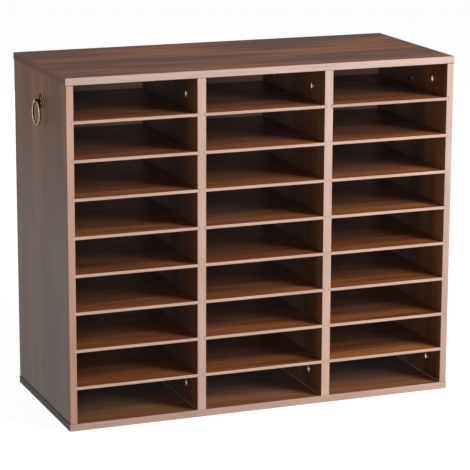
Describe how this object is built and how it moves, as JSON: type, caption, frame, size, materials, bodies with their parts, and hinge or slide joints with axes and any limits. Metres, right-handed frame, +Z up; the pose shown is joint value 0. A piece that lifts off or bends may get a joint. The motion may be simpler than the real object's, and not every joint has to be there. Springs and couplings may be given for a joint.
{
  "type": "pigeonhole mail sorter",
  "caption": "Free-standing open-fronted mail sorter: thin slide-out shelves in grooved uprights make rows of flat compartments, with a hanging ring pull on each side.",
  "frame": {"origin": "centre of the sorter's footprint, on the surface that it stands on", "axes": "+X to the sorter's right seen from the open front, +Y towards the back panel, +Z up"},
  "size_m": [0.726, 0.305, 0.597],
  "materials": {
    "carcass_laminate": "walnut-grain laminate, satin",
    "edge_strip": "pale pinkish beige edge strip, matt",
    "shelf_board": "walnut-grain laminate with a pale front edge, satin",
    "back_board": "dark brown hardboard, satin front face",
    "cam_metal": "bright cast zinc",
    "bolt_steel": "zinc plated",
    "dowel_wood": "raw beech",
    "aged_brass": "aged brass, rubbed bright on the high edges",
    "fixing_steel": "zinc plated"
  },
  "bodies": {
    "carcass": {"top_panel": "carcass_laminate", "bottom_panel": "carcass_laminate", "left_side": "carcass_laminate", "right_side": "carcass_laminate", "left_partition": "carcass_laminate", "right_partition": "carcass_laminate", "back_panel": "back_board", "top_edge_band": "edge_strip", "bottom_edge_band": "edge_strip", "left_side_edge_band": "edge_strip", "right_side_edge_band": "edge_strip", "left_partition_edge_band": "edge_strip", "right_partition_edge_band": "edge_strip", "left_side_cams": "cam_metal", "left_partition_cams": "cam_metal", "right_partition_cams": "cam_metal", "right_side_cams": "cam_metal", "top_cam_bolts": "bolt_steel", "bottom_cam_bolts": "bolt_steel", "top_dowels": "dowel_wood", "bottom_dowels": "dowel_wood", "left_pull_rosette": "aged_brass", "left_pull_post": "aged_brass", "left_pull_washer": "fixing_steel", "left_pull_nut": "fixing_steel", "right_pull_rosette": "aged_brass", "right_pull_post": "aged_brass", "right_pull_washer": "fixing_steel", "right_pull_nut": "fixing_steel"},
    "shelf_left_1": {"shelf_left_1": "shelf_board"},
    "shelf_left_2": {"shelf_left_2": "shelf_board"},
    "shelf_left_3": {"shelf_left_3": "shelf_board"},
    "shelf_left_4": {"shelf_left_4": "shelf_board"},
    "shelf_left_5": {"shelf_left_5": "shelf_board"},
    "shelf_left_6": {"shelf_left_6": "shelf_board"},
    "shelf_left_7": {"shelf_left_7": "shelf_board"},
    "shelf_left_8": {"shelf_left_8": "shelf_board"},
    "shelf_middle_1": {"shelf_middle_1": "shelf_board"},
    "shelf_middle_2": {"shelf_middle_2": "shelf_board"},
    "shelf_middle_3": {"shelf_middle_3": "shelf_board"},
    "shelf_middle_4": {"shelf_middle_4": "shelf_board"},
    "shelf_middle_5": {"shelf_middle_5": "shelf_board"},
    "shelf_middle_6": {"shelf_middle_6": "shelf_board"},
    "shelf_middle_7": {"shelf_middle_7": "shelf_board"},
    "shelf_middle_8": {"shelf_middle_8": "shelf_board"},
    "shelf_right_1": {"shelf_right_1": "shelf_board"},
    "shelf_right_2": {"shelf_right_2": "shelf_board"},
    "shelf_right_3": {"shelf_right_3": "shelf_board"},
    "shelf_right_4": {"shelf_right_4": "shelf_board"},
    "shelf_right_5": {"shelf_right_5": "shelf_board"},
    "shelf_right_6": {"shelf_right_6": "shelf_board"},
    "shelf_right_7": {"shelf_right_7": "shelf_board"},
    "shelf_right_8": {"shelf_right_8": "shelf_board"},
    "left_ring": {"left_pull_ring": "aged_brass"},
    "right_ring": {"right_pull_ring": "aged_brass"}
  },
  "joints": [
    {"name": "shelf_left_1_slide", "type": "slide", "parent": "carcass", "child": "shelf_left_1", "axis": [0, -1, 0], "range_m": [0, 0.26]},
    {"name": "shelf_left_2_slide", "type": "slide", "parent": "carcass", "child": "shelf_left_2", "axis": [0, -1, 0], "range_m": [0, 0.26]},
    {"name": "shelf_left_3_slide", "type": "slide", "parent": "carcass", "child": "shelf_left_3", "axis": [0, -1, 0], "range_m": [0, 0.26]},
    {"name": "shelf_left_4_slide", "type": "slide", "parent": "carcass", "child": "shelf_left_4", "axis": [0, -1, 0], "range_m": [0, 0.26]},
    {"name": "shelf_left_5_slide", "type": "slide", "parent": "carcass", "child": "shelf_left_5", "axis": [0, -1, 0], "range_m": [0, 0.26]},
    {"name": "shelf_left_6_slide", "type": "slide", "parent": "carcass", "child": "shelf_left_6", "axis": [0, -1, 0], "range_m": [0, 0.26]},
    {"name": "shelf_left_7_slide", "type": "slide", "parent": "carcass", "child": "shelf_left_7", "axis": [0, -1, 0], "range_m": [0, 0.26]},
    {"name": "shelf_left_8_slide", "type": "slide", "parent": "carcass", "child": "shelf_left_8", "axis": [0, -1, 0], "range_m": [0, 0.26]},
    {"name": "shelf_middle_1_slide", "type": "slide", "parent": "carcass", "child": "shelf_middle_1", "axis": [0, -1, 0], "range_m": [0, 0.26]},
    {"name": "shelf_middle_2_slide", "type": "slide", "parent": "carcass", "child": "shelf_middle_2", "axis": [0, -1, 0], "range_m": [0, 0.26]},
    {"name": "shelf_middle_3_slide", "type": "slide", "parent": "carcass", "child": "shelf_middle_3", "axis": [0, -1, 0], "range_m": [0, 0.26]},
    {"name": "shelf_middle_4_slide", "type": "slide", "parent": "carcass", "child": "shelf_middle_4", "axis": [0, -1, 0], "range_m": [0, 0.26]},
    {"name": "shelf_middle_5_slide", "type": "slide", "parent": "carcass", "child": "shelf_middle_5", "axis": [0, -1, 0], "range_m": [0, 0.26]},
    {"name": "shelf_middle_6_slide", "type": "slide", "parent": "carcass", "child": "shelf_middle_6", "axis": [0, -1, 0], "range_m": [0, 0.26]},
    {"name": "shelf_middle_7_slide", "type": "slide", "parent": "carcass", "child": "shelf_middle_7", "axis": [0, -1, 0], "range_m": [0, 0.26]},
    {"name": "shelf_middle_8_slide", "type": "slide", "parent": "carcass", "child": "shelf_middle_8", "axis": [0, -1, 0], "range_m": [0, 0.26]},
    {"name": "shelf_right_1_slide", "type": "slide", "parent": "carcass", "child": "shelf_right_1", "axis": [0, -1, 0], "range_m": [0, 0.26]},
    {"name": "shelf_right_2_slide", "type": "slide", "parent": "carcass", "child": "shelf_right_2", "axis": [0, -1, 0], "range_m": [0, 0.26]},
    {"name": "shelf_right_3_slide", "type": "slide", "parent": "carcass", "child": "shelf_right_3", "axis": [0, -1, 0], "range_m": [0, 0.26]},
    {"name": "shelf_right_4_slide", "type": "slide", "parent": "carcass", "child": "shelf_right_4", "axis": [0, -1, 0], "range_m": [0, 0.26]},
    {"name": "shelf_right_5_slide", "type": "slide", "parent": "carcass", "child": "shelf_right_5", "axis": [0, -1, 0], "range_m": [0, 0.26]},
    {"name": "shelf_right_6_slide", "type": "slide", "parent": "carcass", "child": "shelf_right_6", "axis": [0, -1, 0], "range_m": [0, 0.26]},
    {"name": "shelf_right_7_slide", "type": "slide", "parent": "carcass", "child": "shelf_right_7", "axis": [0, -1, 0], "range_m": [0, 0.26]},
    {"name": "shelf_right_8_slide", "type": "slide", "parent": "carcass", "child": "shelf_right_8", "axis": [0, -1, 0], "range_m": [0, 0.26]},
    {"name": "left_ring_hinge", "type": "hinge", "parent": "carcass", "child": "left_ring", "pos_m": [-0.3585, -0.0125, 0.53828], "axis": [0, 1, 0], "range_deg": [-10, 190]},
    {"name": "right_ring_hinge", "type": "hinge", "parent": "carcass", "child": "right_ring", "pos_m": [0.3585, -0.0125, 0.53828], "axis": [0, -1, 0], "range_deg": [-10, 190]}
  ]
}
